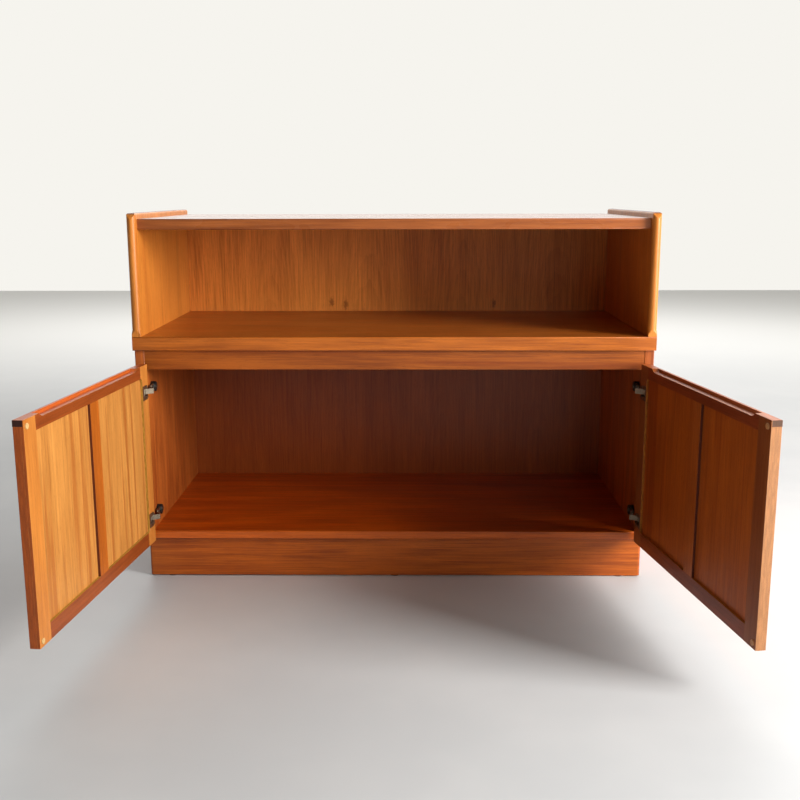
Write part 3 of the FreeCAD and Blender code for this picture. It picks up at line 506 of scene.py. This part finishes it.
def dress_boards():
    """Teak boards of the fixed structure."""
    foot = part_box("upper_back")[0].z
    knots = [(foot + height, across, size) for height, across, size in KNOTS]
    for seed, suffix in ((1.3, "_left"), (4.7, "_right")):
        board("upper_side", "z", seed, suffix, ends=(UP, END_RED))
        board("lower_side", "z", seed + 2, suffix, contrast=2.4, streaks=1.0, flecks=0.45)
    board("top_board", "x", 2.2, contrast=1.6, flecks=0.45, roughness=0.27, coat=0.5)
    board("shelf_board", "x", 6.1, contrast=1.6, flecks=0.45, roughness=0.34)
    board("top_rail", "x", 3.4, contrast=2.0, streaks=0.8, flecks=0.45)
    board("bottom_board", "x", 5.2, contrast=2.2, streaks=0.9, flecks=0.4, roughness=0.34)
    board("bottom_lipping", "x", 8.8, contrast=1.6)
    board("upper_back", "z", 0.4, contrast=1.2, flecks=0.4, arches=(0.4, 0.22), knots=knots)
    board("lower_back", "z", 2.9, contrast=1.1, flecks=0.45, arches=(0.35, 0.24))
    board("plinth", "x", 7.7, nodes=("plinth_front", "plinth_back"),
          contrast=2.0, streaks=0.6, flecks=0.5, ends=(ALONG, END_RED))
    plinth_end = teak("plinth end", TONES["plinth"], "y", seed=9.1, contrast=2.2, streaks=0.6)
    assign(plinth_end, "plinth_end_left", "plinth_end_right")


def dress_fittings():
    """Hidden wood, metal and plastic of the fixed structure, and the hinges."""
    pine = raw_wood("pine", colour(214, 178, 126), colour(172, 124, 74), "y")
    assign(pine, "cleat_left", "cleat_right", "plinth_brace", "plinth_blocks")
    beech = raw_wood("beech", colour(208, 168, 120), colour(178, 130, 84), "x")
    assign(beech, "rail_dowels", "bottom_dowels", "top_board_dowels", "upper_side_dowels")
    nickel = metal("nickel", colour(134, 122, 106), colour(70, 58, 46), 0.36)
    assign(nickel, "unit_bolts", "upper_back_screws", "lower_back_screws")
    for side in SIDES:
        assign(nickel, "hinge_arms_" + side, "hinge_links_" + side, "hinge_pins_" + side,
               "boss_screws_" + side, "door_%s_cup_screws" % side)
    black = plastic("black plastic", colour(22, 21, 20), colour(58, 54, 50), 0.38)
    assign(black, "hinge_bosses_left", "hinge_bosses_right")
    assign(plastic("glide plastic", colour(30, 27, 25), colour(70, 64, 58), 0.5), "glides")


def dress_door(side):
    """Materials of one door, in its own frame."""
    own = door_frame(side)
    # Each side's look holds that door's painted light and painted shade.
    look = DOOR_LIT_AND_SHADED_LOOKS[side]
    prefix = "door_%s_" % side
    free_edge = (ALONG, look["edge"])
    core = (THROUGH, look["core"])
    # The muntin's side walls get painted shade in dark brown.
    gap_shade = (THROUGH, MUNTIN_GAP_SHADE)

    def piece(part, kind, grain, offset, **more):
        material = teak(prefix + part, look[kind], grain, own, look["seed"] + offset, **more)
        assign(material, prefix + part)

    piece("leaf", "field", "z", 0, contrast=1.3, streaks=0.9, flecks=0.2, ends=free_edge,
          outside=look["outside"])
    piece("stile_hinge", "stile", "z", 1, edges=core)
    piece("stile_free", "stile", "z", 2, streaks=0.6, ends=free_edge)
    piece("rail_top", "rail", "x", 3, edges=core, contrast=1.4, flecks=0.5)
    piece("rail_bottom", "rail", "x", 4, edges=core, contrast=1.4, flecks=0.5)
    piece("muntin", "muntin", "z", 5, edges=gap_shade, contrast=1.3, flecks=0.5)
    piece("top_strip", "strip", "x", 6, ends=(ALONG, look["end"]))
    assign(plastic(prefix + "bumper", look["bumper"], colour(160, 120, 76), 0.4), prefix + "bumpers")
    assign(plastic(prefix + "cup", colour(84, 54, 36), colour(120, 88, 64), 0.35), prefix + "cups")


# ---- arrises
CARCASS_ARRIS = 0.0004
DOOR_ARRIS = 0.0003
ARRIS_SEGMENTS = 2
ARRIS_ANGLE = math.radians(40)
WELD_DISTANCE = 0.00001
SQUARE_BOARDS = (
    "shelf_board", "top_board", "lower_side_left", "lower_side_right", "top_rail", "bottom_board",
    "bottom_lipping", "plinth_front", "plinth_back", "plinth_end_left", "plinth_end_right",
)
SQUARE_DOOR_PARTS = (
    "leaf", "stile_hinge", "stile_free", "rail_top", "rail_bottom", "muntin", "top_strip",
)


def soften(name, width):
    """Small rounded arrises that catch the light on a square-cut piece."""
    node = NODES[name]
    weld = node.modifiers.new("weld", "WELD")
    weld.merge_threshold = WELD_DISTANCE
    bevel = node.modifiers.new("arris", "BEVEL")
    bevel.width = width
    bevel.segments = ARRIS_SEGMENTS
    bevel.limit_method = "ANGLE"
    bevel.angle_limit = ARRIS_ANGLE
    bevel.harden_normals = True


# ---- stage
PALE = colour(246, 244, 238)
BACKDROP_STRENGTH = 1.0
AMBIENT_STRENGTH = 0.10
AMBIENT_FROM = -0.1
BACKDROP_FROM = 0.6
FLOOR_HALF = 6.0
FLOOR_DARK = colour(196, 198, 200)
FLOOR_LIGHT = colour(206, 207, 208)
FLOOR_FAR_PAINTED_LIGHT = colour(250, 249, 246)
FLOOR_NEAR_END = 1.2
FLOOR_FAR_START = 4.5
# Area lights: place, target, size, power, colour.
LIGHTS = {
    "window": ((2.4, -1.5, 1.15), (0.0, -0.1, 0.35), (1.0, 1.4), 140.0, (1.0, 0.98, 0.95)),
    "front": ((1.7, -3.4, 1.8), (0.0, 0.0, 0.3), (2.4, 1.6), 24.0, (1.0, 0.98, 0.96)),
    "rear": ((0.3, 3.4, 2.6), (0.0, 1.8, 0.0), (5.0, 2.0), 90.0, (1.0, 1.0, 1.0)),
}


def area_light(name, place, target, size, power, tone):
    """A large soft light aimed at a point."""
    light = bpy.data.lights.new(name, "AREA")
    light.shape = "RECTANGLE"
    light.size, light.size_y = size
    light.energy = power
    light.color = tone
    lamp = bpy.data.objects.new(name, light)
    lamp.location = place
    lamp.rotation_euler = (Vector(place) - Vector(target)).to_track_quat("Z", "Y").to_euler()
    bpy.context.scene.collection.objects.link(lamp)


def build_floor():
    """Plain pale floor, painted paler far away: painted light that fades it into the pale backdrop."""
    half = FLOOR_HALF
    mesh = bpy.data.meshes.new("floor")
    corners = [(-half, -half, 0), (half, -half, 0), (half, half, 0), (-half, half, 0)]
    mesh.from_pydata(corners, [], [(0, 1, 2, 3)])
    floor = bpy.data.objects.new("floor", mesh)
    bpy.context.scene.collection.objects.link(floor)
    graph = Graph("floor")
    point = graph.add("ShaderNodeTexCoord").outputs["Object"]
    cloud = graph.noise(point, 1.6, 4.0, 0.6)
    base = graph.mix(graph.remap(cloud, 0.3, 0.7), FLOOR_DARK, FLOOR_LIGHT)
    # Painted light: the floor grows paler far from the cabinet.
    base = graph.mix(graph.remap(graph.size(point), FLOOR_NEAR_END, FLOOR_FAR_START), base, FLOOR_FAR_PAINTED_LIGHT)
    mesh.materials.append(graph.finish({"Base Color": base, "Roughness": 0.6}))


def build_surroundings():
    """Even pale surroundings to the camera, which light the object mostly from behind."""
    world = bpy.data.worlds.new("surroundings")
    world.use_nodes = True
    tree = world.node_tree
    background = tree.nodes["Background"]
    background.inputs[0].default_value = PALE
    path = tree.nodes.new("ShaderNodeLightPath")
    source = tree.nodes.new("ShaderNodeTexCoord")
    split = tree.nodes.new("ShaderNodeSeparateXYZ")
    behind = tree.nodes.new("ShaderNodeMapRange")
    spans = (AMBIENT_FROM, BACKDROP_FROM, AMBIENT_STRENGTH, BACKDROP_STRENGTH)
    for index, value in enumerate(spans, start=1):
        behind.inputs[index].default_value = value
    brightest = tree.nodes.new("ShaderNodeMath")
    brightest.operation = "MAXIMUM"
    tree.links.new(source.outputs["Generated"], split.inputs[0])
    tree.links.new(split.outputs["Y"], behind.inputs[0])
    tree.links.new(behind.outputs[0], brightest.inputs[0])
    tree.links.new(path.outputs["Is Camera Ray"], brightest.inputs[1])
    tree.links.new(brightest.outputs[0], background.inputs[1])
    bpy.context.scene.world = world


# ---- camera
CAMERA_PLACE = Vector((0.03675, -2.14675, 0.75614))
CAMERA_PITCH = math.radians(11.4548)
CAMERA_YAW = math.radians(-0.7372)
CAMERA_ROLL = math.radians(-0.1241)
CAMERA_LENS = 45.7216
CAMERA_SENSOR = 36.0
CAMERA_CLIP_START = 0.05


def build_camera():
    """Camera in front of the cabinet, a little above its top."""
    forward = Vector((
        math.sin(CAMERA_YAW) * math.cos(CAMERA_PITCH),
        math.cos(CAMERA_YAW) * math.cos(CAMERA_PITCH),
        -math.sin(CAMERA_PITCH),
    ))
    level = Vector((math.cos(CAMERA_YAW), -math.sin(CAMERA_YAW), 0.0))
    above = level.cross(forward)
    right = math.cos(CAMERA_ROLL) * level + math.sin(CAMERA_ROLL) * above
    up = -math.sin(CAMERA_ROLL) * level + math.cos(CAMERA_ROLL) * above
    data = bpy.data.cameras.new("camera")
    data.lens = CAMERA_LENS
    data.sensor_width = CAMERA_SENSOR
    data.clip_start = CAMERA_CLIP_START
    camera = bpy.data.objects.new("camera", data)
    turn = Matrix((right, up, -forward)).transposed().to_4x4()
    camera.matrix_world = Matrix.Translation(CAMERA_PLACE) @ turn
    bpy.context.scene.collection.objects.link(camera)
    bpy.context.scene.camera = camera


bpy.context.scene.view_settings.view_transform = "Standard"
dress_boards()
dress_fittings()
for side in SIDES:
    dress_door(side)
    for part in SQUARE_DOOR_PARTS:
        soften("door_%s_%s" % (side, part), DOOR_ARRIS)
for name in SQUARE_BOARDS:
    soften(name, CARCASS_ARRIS)
build_floor()
build_surroundings()
for name, settings in LIGHTS.items():
    area_light(name, *settings)
build_camera()
